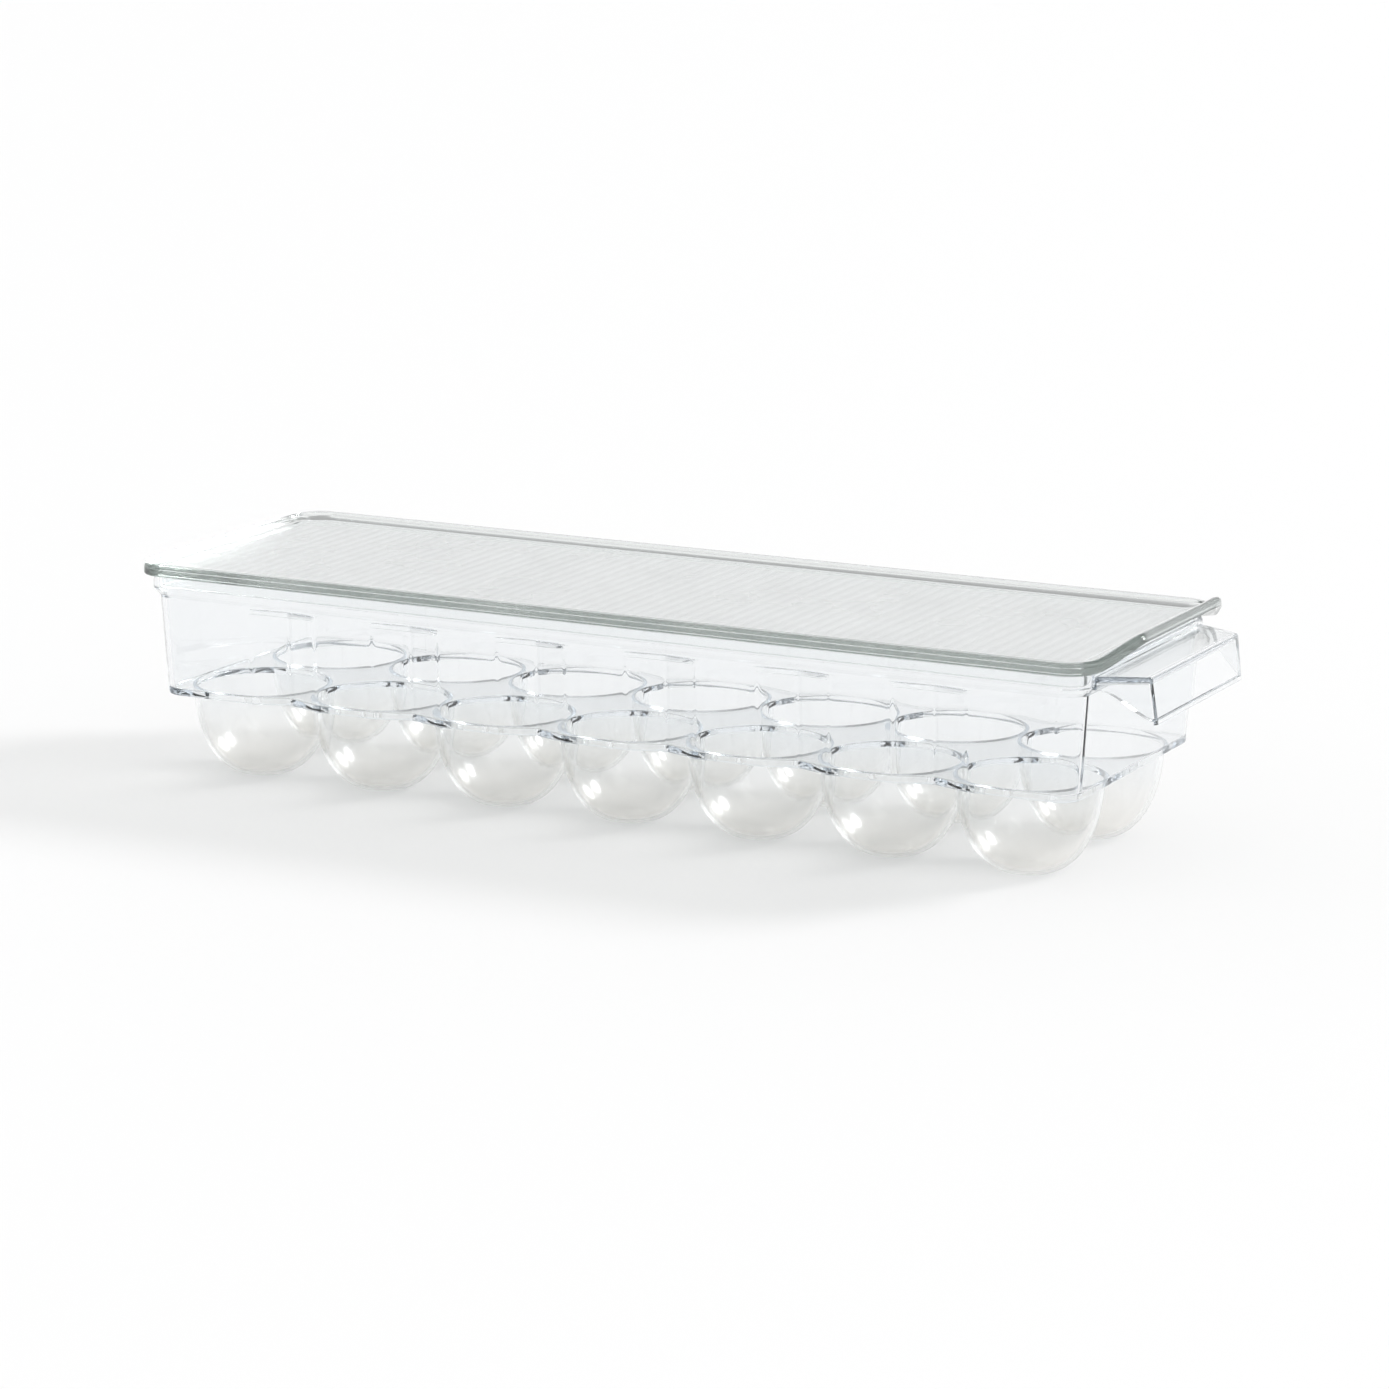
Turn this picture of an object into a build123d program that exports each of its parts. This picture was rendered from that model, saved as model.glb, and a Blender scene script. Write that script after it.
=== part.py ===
"""Fourteen-cup egg bin in clear plastic, with a lift-off lid.

The bin is two mouldings. The tray is a shallow box whose floor drops into two rows of
round egg cups, with a hooded pull handle at one end. The lid is a flat ribbed panel in a
raised rim, with an upturned pull lip over the handle. Each moulding is written as a few
simple regions that meet face to face, one solid for each.

Millimetres, +Z up. The origin is on the ground under the middle of the whole outline.
+X runs along the bin to the handle end.
"""
import os
from math import cos, pi, sin

from build123d import *

os.makedirs("parts", exist_ok=True)

# ---- Egg cups ----
CUPS_PER_ROW = 7
CUP_PITCH = 48.0
ROW_OFFSET = 25.7
CUP_RADIUS = 24.2
CUP_WALL = 1.5
CUP_FLAT = 5.0
CUP_ROUNDNESS = 2.1

# ---- Tray ----
DECK_TOP = 32.0
DECK_THICKNESS = 2.2
WALL = 1.8
FOOT_LENGTH = 339.0
FOOT_WIDTH = 102.6
FOOT_CORNER = 7.0
SHOULDER_LENGTH = 343.2
SHOULDER_WIDTH = 106.2
SHOULDER_CORNER = 8.4
SHOULDER_HEIGHT = 64.4
BAND_LENGTH = 347.2
BAND_WIDTH = 110.2
BAND_CORNER = 9.4
BAND_HEIGHT = 67.2
RIM_TOP = 72.0
RIM_ROUNDING = 1.4

# ---- Flutes pressed into the long walls, one between each pair of cups ----
FLUTE_HALF_WIDTH = 12.3
FLUTE_DEPTH = 4.3
FLUTE_TOP = 61.7

# ---- Pull handle ----
HANDLE_TOP = 70.5
HANDLE_FOOT = 55.3
HANDLE_WALL = 2.0
HANDLE_REACH = 189.5
HANDLE_FOOT_REACH = 191.5
HANDLE_ROOT = 166.0
HANDLE_ROOT_HALF_WIDTH = 47.8
HANDLE_TIP_HALF_WIDTH = 39.0
HANDLE_FOOT_HALF_WIDTH = 38.0
HANDLE_CORNER = 2.5
# The lower edge of each side web, in x from the middle of the cups and height.
WEB_START = (174.0, 66.3)
WEB_BEND = (181.5, 61.7)
WEB_END = (190.5, 55.9)

# ---- Lid ----
LID_GAP = 0.2
LID_LENGTH = 353.0
LID_WIDTH = 116.0
LID_CORNER = 11.5
LID_HEIGHT = 4.3
PANEL_LENGTH = 336.6
PANEL_WIDTH = 99.6
PANEL_CORNER = 5.0
PANEL_THICKNESS = 2.0
CREST_WIDTH = 3.2
CREST_ROUNDING = 1.5
UNDERSIDE_ROUNDING = 1.8
SKIRT_CLEARANCE = 0.8
SKIRT_WALL = 1.6
SKIRT_DEPTH = 4.6
RIB_COUNT = 69
RIB_PITCH = 4.8
RIB_WIDTH = 2.4
RIB_HEIGHT = 0.6
RIB_END_GAP = 3.0

# ---- Pull lip on the lid ----
LIP_REACH = 185.6
LIP_TOP = 83.2
LIP_FLAT_HALF_WIDTH = 31.0
LIP_HALF_WIDTH = 54.0
LIP_FOOT_REACH = 177.5
LIP_FOOT_HEIGHT = 73.4
LIP_HEEL_REACH = 174.9
LIP_HEEL_HEIGHT = 75.9
LIP_EDGE_WIDTH = 1.9
LIP_EDGE_HEIGHT = 1.6
LIP_ROUNDING = 0.8
# How far an S at the lip's side stays below its straight middle line.
LIP_SAG = 0.4

# Length by which a cutting shape overruns what it cuts.
OVERRUN = 10.0

# ---- Worked out from the above ----
# The lid overhangs one end and the handle the other, so the cups are off centre.
BODY_X = (LID_LENGTH / 2 - HANDLE_FOOT_REACH) / 2
DECK_UNDERSIDE = DECK_TOP - DECK_THICKNESS
CUP_INNER_RADIUS = CUP_RADIUS - CUP_WALL
LID_UNDERSIDE = RIM_TOP + LID_GAP
LID_CREST = LID_UNDERSIDE + LID_HEIGHT
PANEL_TOP = LID_UNDERSIDE + PANEL_THICKNESS
MIDDLE_CUP = (CUPS_PER_ROW - 1) / 2
JUNCTIONS = [BODY_X + (i + 0.5 - MIDDLE_CUP) * CUP_PITCH for i in range(CUPS_PER_ROW - 1)]
CUP_CENTRES = [
    (BODY_X + (i - MIDDLE_CUP) * CUP_PITCH, row * ROW_OFFSET)
    for row in (-1, 1)
    for i in range(CUPS_PER_ROW)
]


def level(height):
    """Horizontal plane at a height, with its origin over the middle of the cups."""
    return Plane(origin=(BODY_X, 0, height))


def upright_side():
    """Vertical XZ plane through the middle of the cups, drawn in x and height."""
    return Plane(origin=(BODY_X, 0, 0), x_dir=(1, 0, 0), z_dir=(0, -1, 0))


def cup_outline(radius, flat, depth):
    """Points of a cup's side from its mouth down to the edge of its flat bottom."""
    steps = 8
    points = []
    for i in range(steps + 1):
        angle = i / steps * pi / 2
        across = flat + (radius - flat) * cos(angle) ** (2 / CUP_ROUNDNESS)
        down = depth * sin(angle) ** (2 / CUP_ROUNDNESS)
        points.append((across, DECK_TOP - down))
    return points


# ---- Solids that shape the tray ----
with BuildPart() as tray_block:
    with BuildSketch(level(DECK_UNDERSIDE)):
        RectangleRounded(FOOT_LENGTH, FOOT_WIDTH, FOOT_CORNER)
    with BuildSketch(level(SHOULDER_HEIGHT)):
        RectangleRounded(SHOULDER_LENGTH, SHOULDER_WIDTH, SHOULDER_CORNER)
    loft(ruled=True)
    with BuildSketch(level(SHOULDER_HEIGHT)):
        RectangleRounded(SHOULDER_LENGTH, SHOULDER_WIDTH, SHOULDER_CORNER)
    with BuildSketch(level(BAND_HEIGHT)):
        RectangleRounded(BAND_LENGTH, BAND_WIDTH, BAND_CORNER)
    loft(ruled=True)
    with BuildSketch(level(BAND_HEIGHT)):
        RectangleRounded(BAND_LENGTH, BAND_WIDTH, BAND_CORNER)
    extrude(amount=RIM_TOP - BAND_HEIGHT)

with BuildPart() as outer_flute:
    # A wedge with its point inwards, open below and closed above by a level ledge.
    for height, wall_y in ((DECK_UNDERSIDE - 1, FOOT_WIDTH / 2), (FLUTE_TOP, SHOULDER_WIDTH / 2)):
        with BuildSketch(Plane.XY.offset(height)):
            with BuildLine():
                Polyline(
                    (0, FLUTE_DEPTH - wall_y),
                    (2 * FLUTE_HALF_WIDTH, -FLUTE_DEPTH - wall_y),
                    (-2 * FLUTE_HALF_WIDTH, -FLUTE_DEPTH - wall_y),
                    close=True,
                )
            make_face()
    loft(ruled=True)

with BuildPart() as inner_flute:
    # The same wedge one wall thickness further in.
    for height, wall_y in ((DECK_TOP - 1, FOOT_WIDTH / 2), (FLUTE_TOP + WALL, SHOULDER_WIDTH / 2)):
        with BuildSketch(Plane.XY.offset(height)):
            with BuildLine():
                Polyline(
                    (0, FLUTE_DEPTH + WALL - wall_y),
                    (2 * FLUTE_HALF_WIDTH, WALL - FLUTE_DEPTH - wall_y),
                    (-2 * FLUTE_HALF_WIDTH, WALL - FLUTE_DEPTH - wall_y),
                    close=True,
                )
            make_face()
    loft(ruled=True)

FLUTE_PLACES = [Location((x, 0, 0), (0, 0, turn)) for x in JUNCTIONS for turn in (0, 180)]

with BuildPart() as cavity:
    inset = 2 * WALL
    with BuildSketch(level(DECK_TOP - 1)):
        RectangleRounded(FOOT_LENGTH - inset, FOOT_WIDTH - inset, FOOT_CORNER - WALL)
    with BuildSketch(level(SHOULDER_HEIGHT)):
        RectangleRounded(SHOULDER_LENGTH - inset, SHOULDER_WIDTH - inset, SHOULDER_CORNER - WALL)
    loft(ruled=True)
    with BuildSketch(level(SHOULDER_HEIGHT)):
        RectangleRounded(SHOULDER_LENGTH - inset, SHOULDER_WIDTH - inset, SHOULDER_CORNER - WALL)
    with BuildSketch(level(BAND_HEIGHT)):
        RectangleRounded(BAND_LENGTH - inset, BAND_WIDTH - inset, BAND_CORNER - WALL)
    loft(ruled=True)
    with BuildSketch(level(BAND_HEIGHT)):
        RectangleRounded(BAND_LENGTH - inset, BAND_WIDTH - inset, BAND_CORNER - WALL)
    extrude(amount=RIM_TOP - BAND_HEIGHT + 1)
    with Locations(*FLUTE_PLACES):
        add(inner_flute.part, mode=Mode.SUBTRACT)

with BuildPart() as cup_mouth:
    # What one cup takes out of the deck: a hole with a rounded edge.
    with BuildSketch(Plane.XZ):
        with BuildLine():
            Line((0, DECK_UNDERSIDE), (CUP_INNER_RADIUS, DECK_UNDERSIDE))
            CenterArc((CUP_INNER_RADIUS + DECK_THICKNESS, DECK_UNDERSIDE), DECK_THICKNESS, 180, -90)
            Line((CUP_INNER_RADIUS + DECK_THICKNESS, DECK_TOP), (0, DECK_TOP))
            Line((0, DECK_TOP), (0, DECK_UNDERSIDE))
        make_face()
    revolve(axis=Axis.Z)

# ---- Tray ----
with BuildPart() as cup_deck:
    add(tray_block.part)
    split(bisect_by=level(DECK_TOP), keep=Keep.BOTTOM)
    with Locations(*FLUTE_PLACES):
        add(outer_flute.part, mode=Mode.SUBTRACT)
    with Locations(*CUP_CENTRES):
        add(cup_mouth.part, mode=Mode.SUBTRACT)
cup_deck.part.label = "cup_deck"
export_step(cup_deck.part, "parts/cup_deck.step")

with BuildPart() as tray_wall:
    add(tray_block.part)
    split(bisect_by=level(DECK_TOP), keep=Keep.TOP)
    rim_edges = tray_wall.edges().group_by(Axis.Z)[-1]
    fillet(rim_edges, radius=RIM_ROUNDING)
    add(cavity.part, mode=Mode.SUBTRACT)
    with Locations(*FLUTE_PLACES):
        add(outer_flute.part, mode=Mode.SUBTRACT)
tray_wall.part.label = "tray_wall"
export_step(tray_wall.part, "parts/tray_wall.step")


def egg_cup(centre):
    """One round cup under the deck, cut flat where it joins its neighbours."""
    with BuildPart() as cup:
        with BuildSketch(Plane.XZ):
            for radius, flat, depth, mode in (
                (CUP_RADIUS, CUP_FLAT, DECK_TOP, Mode.ADD),
                (CUP_INNER_RADIUS, CUP_FLAT, DECK_TOP - CUP_WALL, Mode.SUBTRACT),
            ):
                with BuildLine():
                    side = Spline(*cup_outline(radius, flat, depth), tangents=((0, -1), (-1, 0)))
                    Line(side @ 1, (0, DECK_TOP - depth))
                    Line((0, DECK_TOP - depth), (0, DECK_TOP))
                    Line((0, DECK_TOP), side @ 0)
                make_face(mode=mode)
        revolve(axis=Axis.Z)
        split(bisect_by=Plane.XY.offset(DECK_UNDERSIDE), keep=Keep.BOTTOM)
        with BuildSketch(Plane.XY):
            Rectangle(CUP_PITCH, 3 * CUP_RADIUS)
        extrude(amount=DECK_TOP, mode=Mode.INTERSECT)
    return cup.part.moved(Location((centre[0], centre[1], 0)))


for number, centre in enumerate(CUP_CENTRES, start=1):
    name = f"egg_cup_{number:02d}"
    cup = egg_cup(centre)
    cup.label = name
    export_step(cup, f"parts/{name}.step")

with BuildPart() as pull_handle:
    # A hood open below: top plate, end face and two side webs that taper outwards.
    for shrink, mode in ((0, Mode.ADD), (HANDLE_WALL, Mode.SUBTRACT)):
        outlines = (
            (HANDLE_FOOT - shrink, HANDLE_FOOT_REACH, HANDLE_FOOT_HALF_WIDTH),
            (HANDLE_TOP - shrink, HANDLE_REACH, HANDLE_TIP_HALF_WIDTH),
        )
        for height, reach, half_width in outlines:
            with BuildSketch(level(height)):
                with BuildLine():
                    FilletPolyline(
                        (HANDLE_ROOT, HANDLE_ROOT_HALF_WIDTH - shrink),
                        (reach - shrink, half_width - shrink),
                        (reach - shrink, shrink - half_width),
                        (HANDLE_ROOT, shrink - HANDLE_ROOT_HALF_WIDTH),
                        radius=HANDLE_CORNER - shrink / 2,
                    )
                    Line(
                        (HANDLE_ROOT, shrink - HANDLE_ROOT_HALF_WIDTH),
                        (HANDLE_ROOT, HANDLE_ROOT_HALF_WIDTH - shrink),
                    )
                make_face()
        loft(ruled=True, mode=mode)
    # The webs are shallow at the tray and sweep down to the full depth of the end face.
    with BuildSketch(upright_side()):
        with BuildLine():
            web = Spline(WEB_START, WEB_BEND, WEB_END, tangents=((1, 0), (1, -0.25)))
            Polyline(
                web @ 1,
                (WEB_END[0], HANDLE_FOOT - OVERRUN),
                (HANDLE_ROOT - OVERRUN, HANDLE_FOOT - OVERRUN),
                (HANDLE_ROOT - OVERRUN, WEB_START[1]),
                web @ 0,
            )
        make_face()
    extrude(amount=LID_WIDTH, both=True, mode=Mode.SUBTRACT)
    add(tray_block.part, mode=Mode.SUBTRACT)
pull_handle.part.label = "pull_handle"
export_step(pull_handle.part, "parts/pull_handle.step")

# ---- Lid ----
with BuildPart() as lid_block:
    with BuildSketch(level(LID_UNDERSIDE)):
        RectangleRounded(LID_LENGTH, LID_WIDTH, LID_CORNER)
    extrude(amount=LID_HEIGHT)
    fillet(lid_block.edges().group_by(Axis.Z)[-1], radius=CREST_ROUNDING)
    fillet(lid_block.edges().group_by(Axis.Z)[0], radius=UNDERSIDE_ROUNDING)

with BuildPart() as lid_rim:
    add(lid_block.part)
    # The inside of the rim slopes from the crest down to the panel.
    with BuildSketch(level(LID_CREST)):
        RectangleRounded(
            LID_LENGTH - 2 * CREST_WIDTH, LID_WIDTH - 2 * CREST_WIDTH, LID_CORNER - CREST_WIDTH
        )
    with BuildSketch(level(PANEL_TOP)):
        RectangleRounded(PANEL_LENGTH, PANEL_WIDTH, PANEL_CORNER)
    loft(ruled=True, mode=Mode.SUBTRACT)
    with BuildSketch(level(LID_UNDERSIDE)):
        RectangleRounded(PANEL_LENGTH, PANEL_WIDTH, PANEL_CORNER)
    extrude(amount=PANEL_THICKNESS, mode=Mode.SUBTRACT)
    # A locating skirt stands inside the tray's rim.
    with BuildSketch(level(LID_UNDERSIDE - SKIRT_DEPTH)):
        for gap, mode in (
            (WALL + SKIRT_CLEARANCE, Mode.ADD),
            (WALL + SKIRT_CLEARANCE + SKIRT_WALL, Mode.SUBTRACT),
        ):
            RectangleRounded(
                BAND_LENGTH - 2 * gap, BAND_WIDTH - 2 * gap, BAND_CORNER - gap, mode=mode
            )
    extrude(amount=SKIRT_DEPTH)
lid_rim.part.label = "lid_rim"
export_step(lid_rim.part, "parts/lid_rim.step")

with BuildPart() as lid_panel:
    with BuildSketch(level(LID_UNDERSIDE)):
        RectangleRounded(PANEL_LENGTH, PANEL_WIDTH, PANEL_CORNER)
    extrude(amount=PANEL_THICKNESS)
    # Fine ribs run across the underside.
    with BuildSketch(level(LID_UNDERSIDE)):
        with GridLocations(RIB_PITCH, 0, RIB_COUNT, 1):
            Rectangle(RIB_WIDTH, PANEL_WIDTH - 2 * RIB_END_GAP)
    extrude(amount=-RIB_HEIGHT)
lid_panel.part.label = "lid_panel"
export_step(lid_panel.part, "parts/lid_panel.step")

with BuildPart() as lid_pull_lip:
    # A strip that leans out from the end of the rim, cut to an S at each side.
    lip_root = LID_LENGTH / 2 - CREST_WIDTH
    lip_middle_y = (LIP_FLAT_HALF_WIDTH + LIP_HALF_WIDTH) / 2
    lip_middle_height = (LIP_TOP + LIP_HEEL_HEIGHT) / 2 - LIP_SAG
    with BuildSketch(upright_side()):
        with BuildLine():
            FilletPolyline(
                (lip_root, LIP_FOOT_HEIGHT),
                (LIP_FOOT_REACH, LIP_FOOT_HEIGHT),
                (LIP_REACH, LIP_TOP - LIP_EDGE_HEIGHT),
                (LIP_REACH - LIP_EDGE_WIDTH, LIP_TOP),
                (LIP_HEEL_REACH, LIP_HEEL_HEIGHT),
                (lip_root, LIP_HEEL_HEIGHT),
                radius=LIP_ROUNDING,
            )
            Line((lip_root, LIP_HEEL_HEIGHT), (lip_root, LIP_FOOT_HEIGHT))
        make_face()
    extrude(amount=LIP_HALF_WIDTH, both=True)
    for side in (-1, 1):
        with BuildSketch(Plane.YZ.offset(BODY_X + lip_root - OVERRUN)):
            with BuildLine():
                sweep_down = Spline(
                    (side * LIP_FLAT_HALF_WIDTH, LIP_TOP),
                    (side * lip_middle_y, lip_middle_height),
                    (side * LIP_HALF_WIDTH, LIP_HEEL_HEIGHT),
                    tangents=((side, 0), (side, 0)),
                )
                Polyline(
                    sweep_down @ 1,
                    (side * (LIP_HALF_WIDTH + OVERRUN), LIP_HEEL_HEIGHT),
                    (side * (LIP_HALF_WIDTH + OVERRUN), LIP_TOP + OVERRUN),
                    (side * LIP_FLAT_HALF_WIDTH, LIP_TOP + OVERRUN),
                    sweep_down @ 0,
                )
            make_face()
        extrude(amount=4 * OVERRUN, mode=Mode.SUBTRACT)
    add(lid_block.part, mode=Mode.SUBTRACT)
lid_pull_lip.part.label = "lid_pull_lip"
export_step(lid_pull_lip.part, "parts/lid_pull_lip.step")
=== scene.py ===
"""Looks for the clear plastic egg bin and its lift-off lid.

Each moulding is one closed mesh, in place of the CAD regions that meet face to face, so that
light crosses the plastic only at real surfaces. Shapes are worked out in millimetres from the
frame's boxes and turned into metres when a mesh is made.
"""

import math

import bpy
import numpy as np
from mathutils import Matrix, Vector


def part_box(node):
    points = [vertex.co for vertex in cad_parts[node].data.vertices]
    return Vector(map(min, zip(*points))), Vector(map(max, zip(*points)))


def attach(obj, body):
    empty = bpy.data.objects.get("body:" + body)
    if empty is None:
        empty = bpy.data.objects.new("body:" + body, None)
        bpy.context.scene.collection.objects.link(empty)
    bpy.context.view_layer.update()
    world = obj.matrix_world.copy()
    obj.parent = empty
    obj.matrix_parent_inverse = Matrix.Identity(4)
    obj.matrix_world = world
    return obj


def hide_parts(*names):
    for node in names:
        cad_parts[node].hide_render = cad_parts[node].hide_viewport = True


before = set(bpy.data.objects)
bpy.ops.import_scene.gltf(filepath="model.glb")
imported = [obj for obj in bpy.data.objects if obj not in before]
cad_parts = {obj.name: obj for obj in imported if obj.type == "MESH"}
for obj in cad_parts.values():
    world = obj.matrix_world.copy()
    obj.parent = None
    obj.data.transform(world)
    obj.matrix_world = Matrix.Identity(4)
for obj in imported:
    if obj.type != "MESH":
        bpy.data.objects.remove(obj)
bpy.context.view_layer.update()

MM = 0.001


def box_mm(node):
    """Lowest and highest corner of a CAD node, in millimetres."""
    low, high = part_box(node)
    return np.array(low) / MM, np.array(high) / MM


# ---- Sizes read from the frame ----
RIM_LOW, RIM_HIGH = box_mm("lid_rim")
_, WALL_HIGH = box_mm("tray_wall")
DECK_LOW, DECK_HIGH = box_mm("cup_deck")
HOOD_LOW, HOOD_HIGH = box_mm("pull_handle")
_, LIP_HIGH = box_mm("lid_pull_lip")
_, PANEL_HIGH = box_mm("lid_panel")
MID_X = (RIM_LOW[0] + RIM_HIGH[0]) / 2
CUPS = []
for number in range(1, 15):
    cup_low, cup_high = box_mm(f"egg_cup_{number:02d}")
    CUPS.append(((cup_low[0] + cup_high[0]) / 2, (cup_low[1] + cup_high[1]) / 2))
CUP_PITCH = CUPS[1][0] - CUPS[0][0]
CUP_RADIUS = (cup_high[1] - cup_low[1]) / 2
JUNCTIONS = [CUPS[i][0] + CUP_PITCH / 2 for i in range(6)]
DECK_TOP = DECK_HIGH[2]
DECK_UNDER = DECK_LOW[2]
RIM_TOP = WALL_HIGH[2]

# ---- Sizes that the boxes don't give ----
WALL = 1.8
CUP_WALL = 1.5
CUP_FLAT = 5.0
CUP_ROUNDNESS = 2.1
CUP_MOUTH_ROUNDING = 0.5

# The tray wall's half length, half width and corner radius at its foot, its shoulder and its band.
FOOT = (169.5, 51.3, 7.0)
SHOULDER = (171.6, 53.1, 8.4)
BAND = (173.6, 55.1, 9.4)
SHOULDER_Z = 64.4
BAND_Z = 67.2

FLUTE_HALF_WIDTH = 12.3
FLUTE_DEPTH = 4.3
FLUTE_TOP = 61.7

HOOD_WALL = 2.0
HOOD_ROOT = 172.7
HOOD_ROOT_HALF = 46.6
HOOD_TIP_HALF = 38.0
HOOD_TIP_SPREAD = 1.0
HOOD_LEAN = 2.0
HOOD_CORNER = 2.6
WEB_START = (173.0, 66.3)
WEB_END_X = 190.6

# The lid's half length, half width and corner radius.
LID_HALF = ((RIM_HIGH[0] - RIM_LOW[0]) / 2, (RIM_HIGH[1] - RIM_LOW[1]) / 2, 11.5)
LID_THICKNESS = 4.3
RIM_STEP = 0.22
SKIRT_CLEARANCE = 0.8
LIP_ROOT = 171.4
LIP_BEAD = 174.4
LIP_FLAT = 31.0
LIP_END = 55.0
LIP_THINNING = 0.3

RIB_COUNT = 69
RIB_PITCH = 4.8
RIB_HALF_LENGTH = 47.0
RIB_DEPTH = 0.025
RIB_ROOT = 0.4
# Places across half a rib, and the share of its depth there.
RIB_SHAPE = ((0.0, 1.0), (0.6, 0.88), (1.3, 0.4), (2.2, 0.0))


# ---- Mesh helpers ----
def make_object(name, vertices, faces):
    """A mesh object from points in millimetres."""
    mesh = bpy.data.meshes.new(name)
    mesh.from_pydata((np.asarray(vertices) * MM).tolist(), [], faces)
    mesh.update()
    piece = bpy.data.objects.new(name, mesh)
    bpy.context.scene.collection.objects.link(piece)
    return piece


def skin_rings(name, *stacks):
    """Closed skins, one through each stack of rings of equal point count, capped at both ends."""
    vertices = np.concatenate([ring for stack in stacks for ring in stack])
    faces = []
    base = 0
    for stack in stacks:
        count = len(stack[0])
        for k in range(len(stack) - 1):
            lower, upper = base + k * count, base + (k + 1) * count
            for i in range(count):
                j = (i + 1) % count
                faces.append((lower + i, lower + j, upper + j, upper + i))
        last = base + (len(stack) - 1) * count
        faces.append(tuple(reversed(range(base, base + count))))
        faces.append(tuple(range(last, last + count)))
        base = last + count
    return make_object(name, vertices, faces)


def rounded_ring(half_x, half_y, corner, z, xs, ys, corner_steps=12):
    """Points round a rectangle with rounded corners, anticlockwise from above.

    xs and ys are the places of the points on the long and the short sides.
    """
    points = [(x, -half_y) for x in xs if abs(x) <= half_x - corner]
    corners = ((1, -1, -90), (1, 1, 0), (-1, 1, 90), (-1, -1, 180))
    sides = (
        [(half_x, y) for y in ys],
        [(x, half_y) for x in reversed(xs)],
        [(-half_x, y) for y in reversed(ys)],
    )
    for index, (sx, sy, start) in enumerate(corners):
        for step in range(corner_steps + 1):
            angle = math.radians(start + 90 * step / corner_steps)
            points.append(
                (
                    sx * (half_x - corner) + corner * math.cos(angle),
                    sy * (half_y - corner) + corner * math.sin(angle),
                )
            )
        if index < 3:
            points += sides[index]
    ring = np.empty((len(points), 3))
    ring[:, :2] = points
    ring[:, 0] += MID_X
    ring[:, 2] = z
    return ring


def revolved_rings(centre, profile, steps=96):
    """Rings of a solid of revolution about a vertical line, from (radius, height) points."""
    rings = []
    angles = np.arange(steps) * 2 * math.pi / steps
    for radius, z in profile:
        ring = np.empty((steps, 3))
        ring[:, 0] = centre[0] + radius * np.cos(angles)
        ring[:, 1] = centre[1] + radius * np.sin(angles)
        ring[:, 2] = z
        rings.append(ring)
    return rings


def combine(target, other, operation):
    """Applies a boolean of other to target and removes other."""
    modifier = target.modifiers.new("combine", "BOOLEAN")
    modifier.operation = operation
    modifier.solver = "MANIFOLD"
    modifier.object = other
    bpy.context.view_layer.update()
    graph = bpy.context.evaluated_depsgraph_get()
    mesh = bpy.data.meshes.new_from_object(target.evaluated_get(graph))
    target.modifiers.clear()
    old = target.data
    target.data = mesh
    bpy.data.meshes.remove(old)
    bpy.data.objects.remove(other)
    return target


def arc(centre, radius, start, end, steps):
    """Points (across, up) on a circle between two angles in degrees."""
    angles = np.radians(np.linspace(start, end, steps + 1))
    return [(centre[0] + radius * math.cos(a), centre[1] + radius * math.sin(a)) for a in angles]


def arc_to_inset(centre, radius, start, end, steps):
    """Arc points as (inset, height), where inset grows away from the lid's outline."""
    return [(2 * centre[0] - x, z) for x, z in arc(centre, radius, start, end, steps)]


def smooth_step(t):
    t = np.clip(t, 0, 1)
    return t * t * (3 - 2 * t)


# ---- Tray ----
# Distances from a flute's middle at which the wall has points.
FLUTE_SAMPLES = (0, 0.25, 0.5, 0.8, 1.2, 2, 3.5, 5, 7, 9, 10.5, 11.3, 11.8, 12.2, 12.6, 13, 13.5, 14.5)


def long_side_places():
    """Places along a long side, close together across each flute."""
    places = {0.0}
    for junction in JUNCTIONS:
        for sample in FLUTE_SAMPLES:
            places.add(round(junction - MID_X + sample, 3))
            places.add(round(junction - MID_X - sample, 3))
    for cup in CUPS[:7]:
        for sample in (-6, 0, 6):
            places.add(round(cup[0] - MID_X + sample, 3))
    return sorted(places)


def flute_depth(x):
    """How far the flutes press the wall inwards at a place along it, from 0 to 1."""
    nearest = np.min(np.abs(x[:, None] - np.array(JUNCTIONS)[None, :]), axis=1)
    apex_rounding = 0.45
    mouth_rounding = 0.05
    share = 1 - (np.sqrt(nearest**2 + apex_rounding**2) - apex_rounding) / FLUTE_HALF_WIDTH
    return (share + np.sqrt(share**2 + mouth_rounding**2)) / 2 - mouth_rounding / 40


def wall_ring(half_x, half_y, corner, z, flute, xs, ys):
    """A ring of the tray's wall, pressed in on its long sides by a share of the flutes."""
    ring = rounded_ring(half_x, half_y, corner, z, xs, ys)
    if flute > 0:
        straight = np.abs(np.abs(ring[:, 1]) - half_y) < 1e-6
        depth = np.clip(flute_depth(ring[:, 0]), 0, None) * FLUTE_DEPTH * flute
        ring[:, 1] -= np.sign(ring[:, 1]) * depth * straight
    return ring


def wall_size(z, inset=0.0):
    """The wall's half length, half width and corner radius at a height."""
    heights = (DECK_UNDER, SHOULDER_Z, BAND_Z, RIM_TOP)
    sizes = (FOOT, SHOULDER, BAND, BAND)
    return [np.interp(z, heights, [size[k] for size in sizes]) - inset for k in range(3)]


# How much of the flute is left at heights just above and below its top ledge.
LEDGE = (
    (-0.5, 1.0),
    (-0.3, 0.99),
    (-0.18, 0.96),
    (-0.08, 0.88),
    (0.0, 0.5),
    (0.08, 0.12),
    (0.18, 0.04),
    (0.3, 0.01),
    (0.5, 0.0),
)


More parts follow.
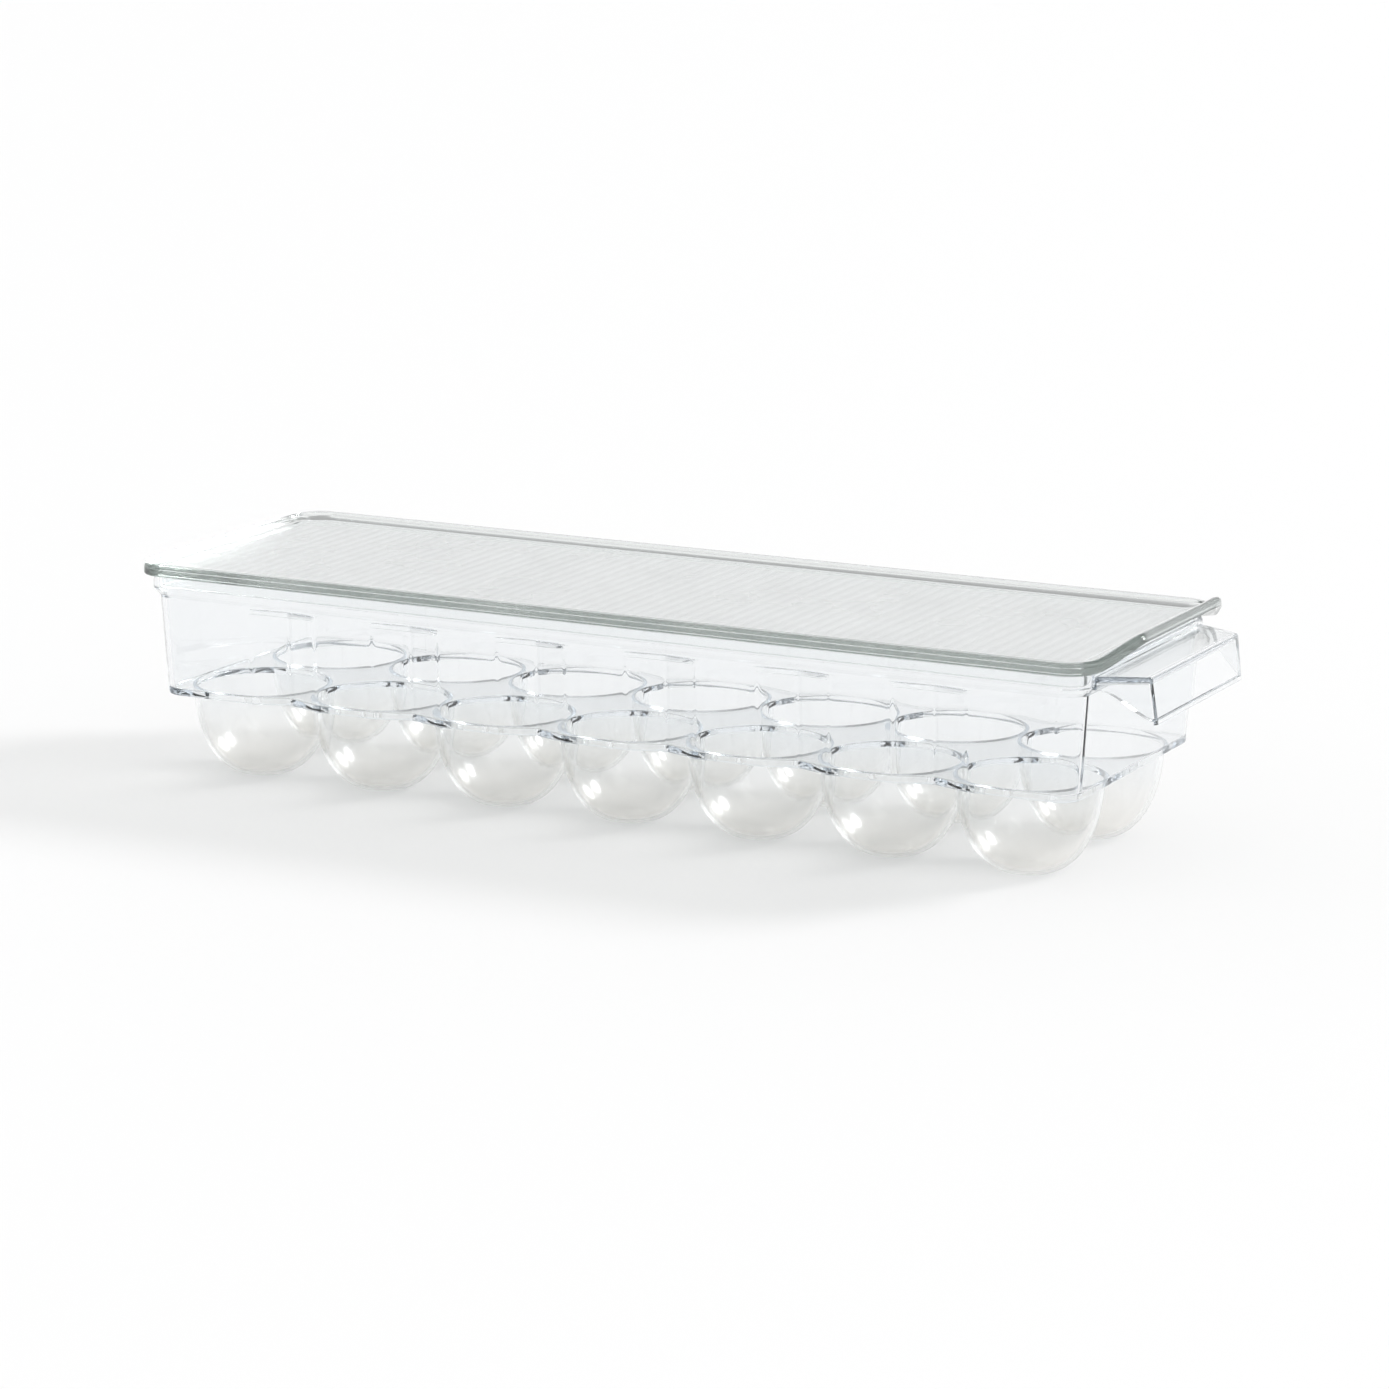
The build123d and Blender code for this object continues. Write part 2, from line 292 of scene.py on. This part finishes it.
def tray_levels(top_of_flutes):
    """Heights and flute shares from just above the foot to the start of the rim's rounding."""
    levels = [(DECK_UNDER + 12, 1.0), (DECK_UNDER + 24, 1.0)]
    levels += [(top_of_flutes + dz, share) for dz, share in LEDGE]
    levels += [(SHOULDER_Z - 0.6, 0.0), (SHOULDER_Z - 0.2, 0.0), (SHOULDER_Z + 0.3, 0.0)]
    levels += [(BAND_Z - 0.5, 0.0), (BAND_Z + 0.1, 0.0), (BAND_Z + 0.6, 0.0)]
    return levels


def tray_outside(xs, ys):
    """The tray's outside without its cups and handle, as a solid block."""
    rings = []
    foot_rounding = 0.8
    for across, up in arc((0, foot_rounding), foot_rounding, -90, 0, 4):
        hx, hy, r = wall_size(DECK_UNDER, foot_rounding - across)
        rings.append(wall_ring(hx, hy, r, DECK_UNDER + up, 1.0, xs, ys))
    for z, flute in tray_levels(FLUTE_TOP):
        rings.append(wall_ring(*wall_size(z), z, flute, xs, ys))
    rim_rounding = 0.9
    for across, up in arc((0, 0), rim_rounding, 0, 90, 5):
        z = RIM_TOP - rim_rounding + up
        rings.append(wall_ring(*wall_size(z, rim_rounding - across), z, 0, xs, ys))
    return skin_rings("tray", rings)


def tray_cavity(xs, ys):
    """The space inside the walls, above the deck."""
    rings = []
    floor_rounding = 0.7
    for across, up in arc((0, floor_rounding), floor_rounding, -90, 0, 4):
        hx, hy, r = wall_size(DECK_TOP, WALL + floor_rounding - across)
        rings.append(wall_ring(hx, hy, r, DECK_TOP + up, 1.0, xs, ys))
    for z, flute in tray_levels(FLUTE_TOP + WALL * 0.8):
        rings.append(wall_ring(*wall_size(z, WALL), z, flute, xs, ys))
    lead_in = 0.7
    for across, up in arc((0, 0), lead_in, 180, 90, 4):
        z = RIM_TOP - lead_in + up
        rings.append(wall_ring(*wall_size(z, WALL - lead_in - across), z, 0, xs, ys))
    rings.append(wall_ring(*wall_size(RIM_TOP, WALL - lead_in), RIM_TOP + 1, 0, xs, ys))
    return skin_rings("cavity", rings)


def cup_profile(radius, depth, top, steps=28):
    """A cup's side from its mouth to the edge of its flat bottom, as (radius, height)."""
    points = []
    for i in range(steps + 1):
        angle = i / steps * math.pi / 2
        across = CUP_FLAT + (radius - CUP_FLAT) * math.cos(angle) ** (2 / CUP_ROUNDNESS)
        z = DECK_TOP - depth * math.sin(angle) ** (2 / CUP_ROUNDNESS)
        if z < top - 1e-6:
            points.append((across, z))
    return points


def add_cups(tray):
    """Hangs the cups under the deck and hollows them, every other pair of cups at a time."""
    inner_radius = CUP_RADIUS - CUP_WALL
    side = cup_profile(CUP_RADIUS, DECK_TOP, DECK_TOP - 1.0)
    outside = list(reversed(side)) + [(CUP_RADIUS, DECK_TOP - 0.9)]
    for first in (0, 1):
        stacks = [revolved_rings(CUPS[i], outside) for i in range(14) if i % 7 % 2 == first]
        combine(tray, skin_rings("cup_outsides", *stacks), "UNION")
    side = cup_profile(inner_radius, DECK_TOP - CUP_WALL, DECK_TOP - 1.2)
    rounding = CUP_MOUTH_ROUNDING
    mouth = arc((inner_radius + rounding, DECK_TOP - rounding + 0.04), rounding, 180, 94, 7)
    inside = list(reversed(side)) + mouth + [(mouth[-1][0] + 0.02, DECK_TOP + 1.5)]
    hx, hy, _ = wall_size(DECK_TOP, WALL + 0.35)
    for first in (0, 1):
        stacks = [revolved_rings(CUPS[i], inside) for i in range(14) if i % 7 % 2 == first]
        for stack in stacks:
            for ring in stack:
                ring[:, 0] = np.clip(ring[:, 0], MID_X - hx, MID_X + hx)
                ring[:, 1] = np.clip(ring[:, 1], -hy, hy)
        combine(tray, skin_rings("cup_insides", *stacks), "DIFFERENCE")


def hood_ring(root, reach, root_half, tip_half, corner, z):
    """A ring of the handle's hood seen from above: a trapezium with two rounded corners."""
    slope = math.atan2(root_half - tip_half, reach - root)
    along = np.array((math.cos(slope), math.sin(slope)))
    inward = np.array((-math.sin(slope), math.cos(slope)))
    tangent = corner * math.tan((math.pi / 2 - slope) / 2)
    centre = np.array((reach, -tip_half)) - along * tangent + inward * corner
    near = [(root, -root_half)] + arc(centre, corner, math.degrees(slope) - 90, 0, 8)
    far = [(x, -y) for x, y in reversed(near)]
    ring = np.empty((len(near + far), 3))
    ring[:, :2] = near + far
    ring[:, 0] += MID_X
    ring[:, 2] = z
    return ring


def hood(name, shrink, root, rounding, top, bottom):
    """The hood's outside, or its inside when shrunk by the wall."""

    def at(z, inset):
        share = (z - HOOD_LOW[2]) / (HOOD_HIGH[2] - HOOD_LOW[2])
        smaller = shrink + inset
        reach = HOOD_HIGH[0] - MID_X - HOOD_LEAN * share - smaller
        tip = HOOD_TIP_HALF + HOOD_TIP_SPREAD * share - smaller
        corner = max(0.6, HOOD_CORNER - smaller)
        return hood_ring(root, reach, HOOD_ROOT_HALF - smaller, tip, corner, z)

    rings = [at(bottom, 0)]
    for across, up in arc((0, 0), rounding, 0, 90, 5):
        rings.append(at(top - rounding + up, rounding - across))
    return skin_rings(name, rings)


def web_cutter():
    """What lies under the hood's side webs: shallow at the tray, sweeping down to the end."""
    start_x, start_z = WEB_START
    end_z = HOOD_LOW[2] + 0.8
    sweep = []
    for t in np.linspace(0, 1, 25):
        x = start_x + (WEB_END_X - start_x) * t
        sweep.append((x, start_z + (end_z - start_z) * smooth_step((t - 0.05) / 1.05)))
    back, below = 160.0, 40.0
    outline = [(back, start_z)] + sweep + [(WEB_END_X, below), (back, below)]
    rings = [np.array([(x + MID_X, y, z) for x, z in outline]) for y in (-70, 70)]
    return skin_rings("web_cutter", rings)


def make_tray():
    xs = long_side_places()
    ys = [-36, -24, -12, 0, 12, 24, 36]
    top, bottom = HOOD_HIGH[2], HOOD_LOW[2]
    tray = tray_outside(xs, ys)
    outside = hood("hood_outside", 0.0, HOOD_ROOT, 1.0, top, bottom)
    combine(outside, web_cutter(), "DIFFERENCE")
    inside = hood("hood_inside", HOOD_WALL, BAND[0] + 0.05, 0.8, top - HOOD_WALL, bottom - 5)
    combine(outside, inside, "DIFFERENCE")
    combine(tray, outside, "UNION")
    combine(tray, tray_cavity(xs, ys), "DIFFERENCE")
    add_cups(tray)
    return tray


# ---- Lid ----
def lid_section():
    """(inset from the lid's outline, height) round the lid, from its panel's top out and under."""
    top = RIM_HIGH[2]
    bottom = top - LID_THICKNESS
    dish = ((9.2, 0.0), (8.6, 0.02), (8.1, 0.12), (7.0, 0.5), (5.5, 1.0), (4.2, 1.4), (3.5, 1.65))
    crest = ((3.1, 0.4), (2.8, 0.15), (2.5, 0.04), (2.2, 0.0))
    section = [(inset, PANEL_HIGH[2] + rise) for inset, rise in dish]
    section += [(inset, top - drop) for inset, drop in crest]
    # A small step runs round the outside, under the rounded top.
    section += arc_to_inset((RIM_STEP + 1.3, top - 1.3), 1.3, 90, 0, 7)
    section += [(RIM_STEP, top - 1.55), (0.04, top - 1.75), (0.0, top - 1.9)]
    section += arc_to_inset((0.45, bottom + 0.45), 0.45, 0, -90, 4)
    # The skirt hangs from the underside and fits inside the tray's wall.
    skirt = LID_HALF[0] - (BAND[0] - WALL - SKIRT_CLEARANCE)
    rounding = 0.6
    foot = RIM_LOW[2] + rounding
    section += [(3.4, bottom), (skirt - 0.5, bottom), (skirt - 0.12, bottom - 0.12)]
    section += [(skirt, bottom - 0.5), (skirt + 0.05, foot)]
    section += arc_to_inset((skirt + 0.65, foot), rounding, 0, -90, 4)[1:]
    section += arc_to_inset((skirt + 1.0, foot), rounding, -90, -180, 4)
    section += [(skirt + 1.65, bottom - 0.6), (skirt + 1.8, bottom - 0.15), (skirt + 2.2, bottom)]
    section += [(skirt + 3.2, bottom)]
    return section


def raise_pull_lip(points):
    """Sweeps the rim at the handle end outwards and up, in an S at each side."""
    outward = np.clip((points[:, 0] - MID_X - LIP_ROOT) / (LIP_BEAD - LIP_ROOT), 0, 1)
    outward = np.where(points[:, 2] > RIM_HIGH[2] - LID_THICKNESS - 0.05, outward, 0)
    sideways = smooth_step((LIP_END - np.abs(points[:, 1])) / (LIP_END - LIP_FLAT))
    lift = outward * sideways
    half_thickness = 2.1
    middle = RIM_HIGH[2] - half_thickness
    up = LIP_HIGH[2] - RIM_HIGH[2] + LIP_THINNING * half_thickness
    points[:, 2] = middle + (points[:, 2] - middle) * (1 - LIP_THINNING * lift) + up * lift**1.15
    points[:, 0] += (LIP_HIGH[0] - RIM_HIGH[0]) * lift
    return points


def make_ribs():
    """The fine ribs across the panel's underside, rooted a little way into it."""
    right = [(across, -share * RIB_DEPTH) for across, share in RIB_SHAPE]
    right.append((RIB_SHAPE[-1][0], RIB_ROOT))
    profile = [(-across, z) for across, z in reversed(right[1:])] + right
    underside = RIM_HIGH[2] - LID_THICKNESS
    ribs = []
    for i in range(RIB_COUNT):
        x = MID_X + (i - (RIB_COUNT - 1) / 2) * RIB_PITCH
        ends = (RIB_HALF_LENGTH, -RIB_HALF_LENGTH)
        ribs.append([np.array([(x + across, y, underside + z) for across, z in profile]) for y in ends])
    return skin_rings("ribs", *ribs)


def make_lid():
    xs = list(np.linspace(-160, 160, 33))
    ys = list(np.linspace(-45, 45, 61))
    half_x, half_y, corner = LID_HALF
    rings = []
    for inset, z in lid_section():
        ring = rounded_ring(half_x - inset, half_y - inset, max(1.6, corner - inset), z, xs, ys)
        rings.append(raise_pull_lip(ring))
    lid = skin_rings("lid", rings[::-1])
    return combine(lid, make_ribs(), "UNION")


# ---- Materials ----
def clear_plastic(name, tint, low_tint, absorb, density, haze, haze_heights, haze_reach, shadow):
    """Polished clear plastic: faint flow marks, a tint that grows with depth, and a haze low down.

    tint and low_tint colour its surfaces, absorb and density its depth, and shadow its shadows.
    haze is the roughness low down. haze_heights are where the haze and the low tint are full and
    where they have gone, and haze_reach is how far they go from the middle along X and Y, in metres.
    """
    material = bpy.data.materials.new(name)
    material.use_nodes = True
    nodes, links = material.node_tree.nodes, material.node_tree.links
    nodes.clear()

    def node(kind, settings=None, **inputs):
        made = nodes.new("ShaderNode" + kind)
        for key, value in (settings or {}).items():
            setattr(made, key, value)
        for key, value in inputs.items():
            socket = made.inputs[int(key[1:]) if key[1:].isdigit() else key.replace("_", " ")]
            if isinstance(value, bpy.types.NodeSocket):
                links.new(value, socket)
            else:
                socket.default_value = value
        return made

    def calculate(operation, first, second):
        return node("Math", {"operation": operation}, _0=first, _1=second).outputs["Value"]

    coords = node("TexCoord").outputs["Object"]
    flow = node("TexNoise", Vector=coords, Scale=35.0, Detail=2.0).outputs["Fac"]
    height = node("SeparateXYZ", Vector=coords).outputs["Z"]
    spread = node("VectorMath", {"operation": "SUBTRACT"}, _0=coords, _1=(MID_X * MM, 0, 0))
    spread = node("VectorMath", {"operation": "ABSOLUTE"}, _0=spread.outputs["Vector"])
    spread = node("SeparateXYZ", Vector=spread.outputs["Vector"]).outputs
    within_x = calculate("LESS_THAN", spread["X"], haze_reach[0])
    within_y = calculate("LESS_THAN", spread["Y"], haze_reach[1])
    low = node(
        "MapRange",
        {"interpolation_type": "SMOOTHSTEP"},
        Value=height,
        From_Min=haze_heights[0],
        From_Max=haze_heights[1],
        To_Min=1.0,
        To_Max=0.0,
    )
    low = calculate("MULTIPLY", low.outputs["Result"], calculate("MULTIPLY", within_x, within_y))
    smooth = node("MapRange", Value=low, To_Min=0.02, To_Max=haze).outputs["Result"]
    patches = node("MapRange", Value=flow, To_Min=0.4, To_Max=1.6).outputs["Result"]
    roughness = calculate("MULTIPLY", smooth, patches)
    colour = node("Mix", {"data_type": "RGBA"}, Factor=low, A=(*tint, 1), B=(*low_tint, 1))
    streaks = node(
        "Mix",
        {"data_type": "RGBA", "blend_type": "SCREEN"},
        Factor=flow,
        A=colour.outputs["Result"],
        B=(0.3, 0.3, 0.3, 1),
    )
    bump = node("Bump", Strength=0.03, Distance=0.0005, Height=flow).outputs["Normal"]
    shader = node("BsdfPrincipled", Roughness=roughness, IOR=1.5, Normal=bump)
    shader.inputs["Transmission Weight"].default_value = 1.0
    links.new(streaks.outputs["Result"], shader.inputs["Base Color"])
    # Light that only passes on its way to another surface goes straight through.
    through = node("BsdfTransparent", Color=(*shadow, 1)).outputs["BSDF"]
    path = node("LightPath").outputs
    mix = node("MixShader", _0=path["Is Shadow Ray"], _1=shader.outputs["BSDF"], _2=through)
    mix = node("MixShader", _0=path["Is Diffuse Ray"], _1=mix.outputs["Shader"], _2=through)
    depth = node("VolumeAbsorption", Color=(*absorb, 1), Density=density).outputs["Volume"]
    node("OutputMaterial", Surface=mix.outputs["Shader"], Volume=depth)
    return material


def finish_piece(piece, material, body, nodes):
    """Gives a piece its material and smooth shading, ties it to its body, and hides the CAD nodes it
    stands in for.
    """
    piece.data.materials.clear()
    piece.data.materials.append(material)
    piece.data.shade_smooth()
    piece.data.set_sharp_from_angle(angle=math.radians(32))
    weighted = piece.modifiers.new("weighted_normals", "WEIGHTED_NORMAL")
    weighted.keep_sharp = True
    weighted.weight = 90
    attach(piece, body)
    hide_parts(*nodes)


tray = make_tray()
lid = make_lid()
TRAY_NODES = ["cup_deck", "tray_wall", "pull_handle"] + [f"egg_cup_{n:02d}" for n in range(1, 15)]
LID_NODES = ["lid_rim", "lid_panel", "lid_pull_lip"]
# The tray's low tint is painted light: a paler, warmer colour on the cups' lower parts that stands in
# for the white floor and its shade seen through them. The haze there is real frosting.
tray_plastic = clear_plastic(
    "tray_plastic",
    tint=(0.945, 0.955, 0.962),
    low_tint=(0.985, 0.974, 0.95),
    absorb=(0.55, 0.72, 0.88),
    density=4.5,
    haze=0.12,
    haze_heights=(0.0, 0.030),
    haze_reach=(1.0, 1.0),
    shadow=(0.94, 0.941, 0.939),
)
# The lid is frosted only on the ribbed underside of its panel.
lid_plastic = clear_plastic(
    "lid_plastic",
    tint=(0.943, 0.957, 0.957),
    low_tint=(0.958, 0.967, 0.97),
    absorb=(0.56, 0.615, 0.59),
    density=22.0,
    haze=0.24,
    haze_heights=(0.0722, 0.0726),
    haze_reach=(0.167, 0.048),
    shadow=(0.91, 0.912, 0.91),
)
finish_piece(tray, tray_plastic, "tray", TRAY_NODES)
finish_piece(lid, lid_plastic, "lid", LID_NODES)


# ---- Stage, light and camera ----
# The studio's brightness by height: 0 is at the horizon and 1 is overhead.
STUDIO_BANDS = (
    (0.0, 0.9),
    (0.1, 0.86),
    (0.3, 0.86),
    (0.42, 1.0),
    (0.5, 1.0),
    (0.62, 0.45),
    (0.85, 0.42),
    (1.0, 0.5),
)
# The softbox that the cups reflect: its direction, and the cosines where it starts and is full.
SOFTBOX_DIRECTION = (0.601, -0.358, 0.714)
SOFTBOX_EDGE = (0.96, 0.985)
STUDIO_STRENGTH = 1.01
SOFTBOX_STRENGTH = 3.0


def make_floor():
    """A plain pale floor that reaches past everything the camera sees."""
    mesh = bpy.data.meshes.new("floor")
    half = 12.0
    corners = [(-half, -half, 0), (half, -half, 0), (half, half, 0), (-half, half, 0)]
    mesh.from_pydata(corners, [], [(0, 1, 2, 3)])
    floor = bpy.data.objects.new("floor", mesh)
    bpy.context.scene.collection.objects.link(floor)
    material = bpy.data.materials.new("floor_white")
    material.use_nodes = True
    shader = material.node_tree.nodes["Principled BSDF"]
    shader.inputs["Base Color"].default_value = (0.86, 0.86, 0.86, 1)
    shader.inputs["Roughness"].default_value = 0.9
    mesh.materials.append(material)


def make_world():
    """A pale studio with soft bands of light by height, and one softbox."""
    world = bpy.data.worlds.new("studio")
    bpy.context.scene.world = world
    world.use_nodes = True
    nodes, links = world.node_tree.nodes, world.node_tree.links
    background = nodes["Background"]
    coords = nodes.new("ShaderNodeTexCoord")
    split = nodes.new("ShaderNodeSeparateXYZ")
    ramp = nodes.new("ShaderNodeValToRGB")
    links.new(coords.outputs["Generated"], split.inputs["Vector"])
    links.new(split.outputs["Z"], ramp.inputs["Fac"])
    links.new(ramp.outputs["Color"], background.inputs["Color"])
    elements = ramp.color_ramp.elements
    for height, _ in STUDIO_BANDS[1:-1]:
        elements.new(height)
    for element, (_, grey) in zip(elements, STUDIO_BANDS):
        element.color = (grey, grey, grey, 1)
    softbox = nodes.new("ShaderNodeVectorMath")
    softbox.operation = "DOT_PRODUCT"
    softbox.inputs[1].default_value = SOFTBOX_DIRECTION
    links.new(coords.outputs["Generated"], softbox.inputs[0])
    glow = nodes.new("ShaderNodeMapRange")
    glow.interpolation_type = "SMOOTHSTEP"
    glow.inputs["From Min"].default_value, glow.inputs["From Max"].default_value = SOFTBOX_EDGE
    glow.inputs["To Min"].default_value = STUDIO_STRENGTH
    glow.inputs["To Max"].default_value = SOFTBOX_STRENGTH
    links.new(softbox.outputs["Value"], glow.inputs["Value"])
    links.new(glow.outputs["Result"], background.inputs["Strength"])


def make_key(azimuth, elevation, strength):
    """A broad soft light; azimuth is measured from +X towards +Y, in degrees."""
    data = bpy.data.lights.new("key", "SUN")
    data.angle = math.radians(16)
    data.energy = strength
    light = bpy.data.objects.new("key", data)
    a, e = math.radians(azimuth), math.radians(elevation)
    toward = Vector((math.cos(e) * math.cos(a), math.cos(e) * math.sin(a), math.sin(e)))
    light.location = toward * 2
    light.rotation_mode = "QUATERNION"
    light.rotation_quaternion = (-toward).to_track_quat("-Z", "Y")
    bpy.context.scene.collection.objects.link(light)


def make_camera(place, azimuth, elevation, roll, lens):
    """The photograph's camera; azimuth 0 looks along +Y, and angles are in degrees."""
    a, e, r = math.radians(azimuth), math.radians(elevation), math.radians(roll)
    forward = Vector((-math.sin(a) * math.cos(e), math.cos(a) * math.cos(e), -math.sin(e)))
    right = Vector((math.cos(a), math.sin(a), 0))
    up = right.cross(forward)
    rolled_right = math.cos(r) * right + math.sin(r) * up
    rolled_up = math.cos(r) * up - math.sin(r) * right
    data = bpy.data.cameras.new("camera")
    data.lens = lens
    data.sensor_width = 36.0
    data.clip_end = 100
    camera = bpy.data.objects.new("camera", data)
    turn = Matrix((rolled_right, rolled_up, -forward)).transposed()
    camera.matrix_world = Matrix.Translation(place) @ turn.to_4x4()
    bpy.context.scene.collection.objects.link(camera)
    bpy.context.scene.camera = camera


make_floor()
make_world()
make_key(azimuth=44, elevation=33, strength=2.95)
make_camera((0.70683, -1.38784, 0.38878), azimuth=26.895, elevation=12.687, roll=0.272, lens=122.75)
scene = bpy.context.scene
scene.view_settings.view_transform = "Standard"
# Light goes round many times inside the plastic's edges before it comes out.
scene.cycles.max_bounces = 32
scene.cycles.transmission_bounces = 32
scene.cycles.transparent_max_bounces = 64
scene.cycles.glossy_bounces = 32
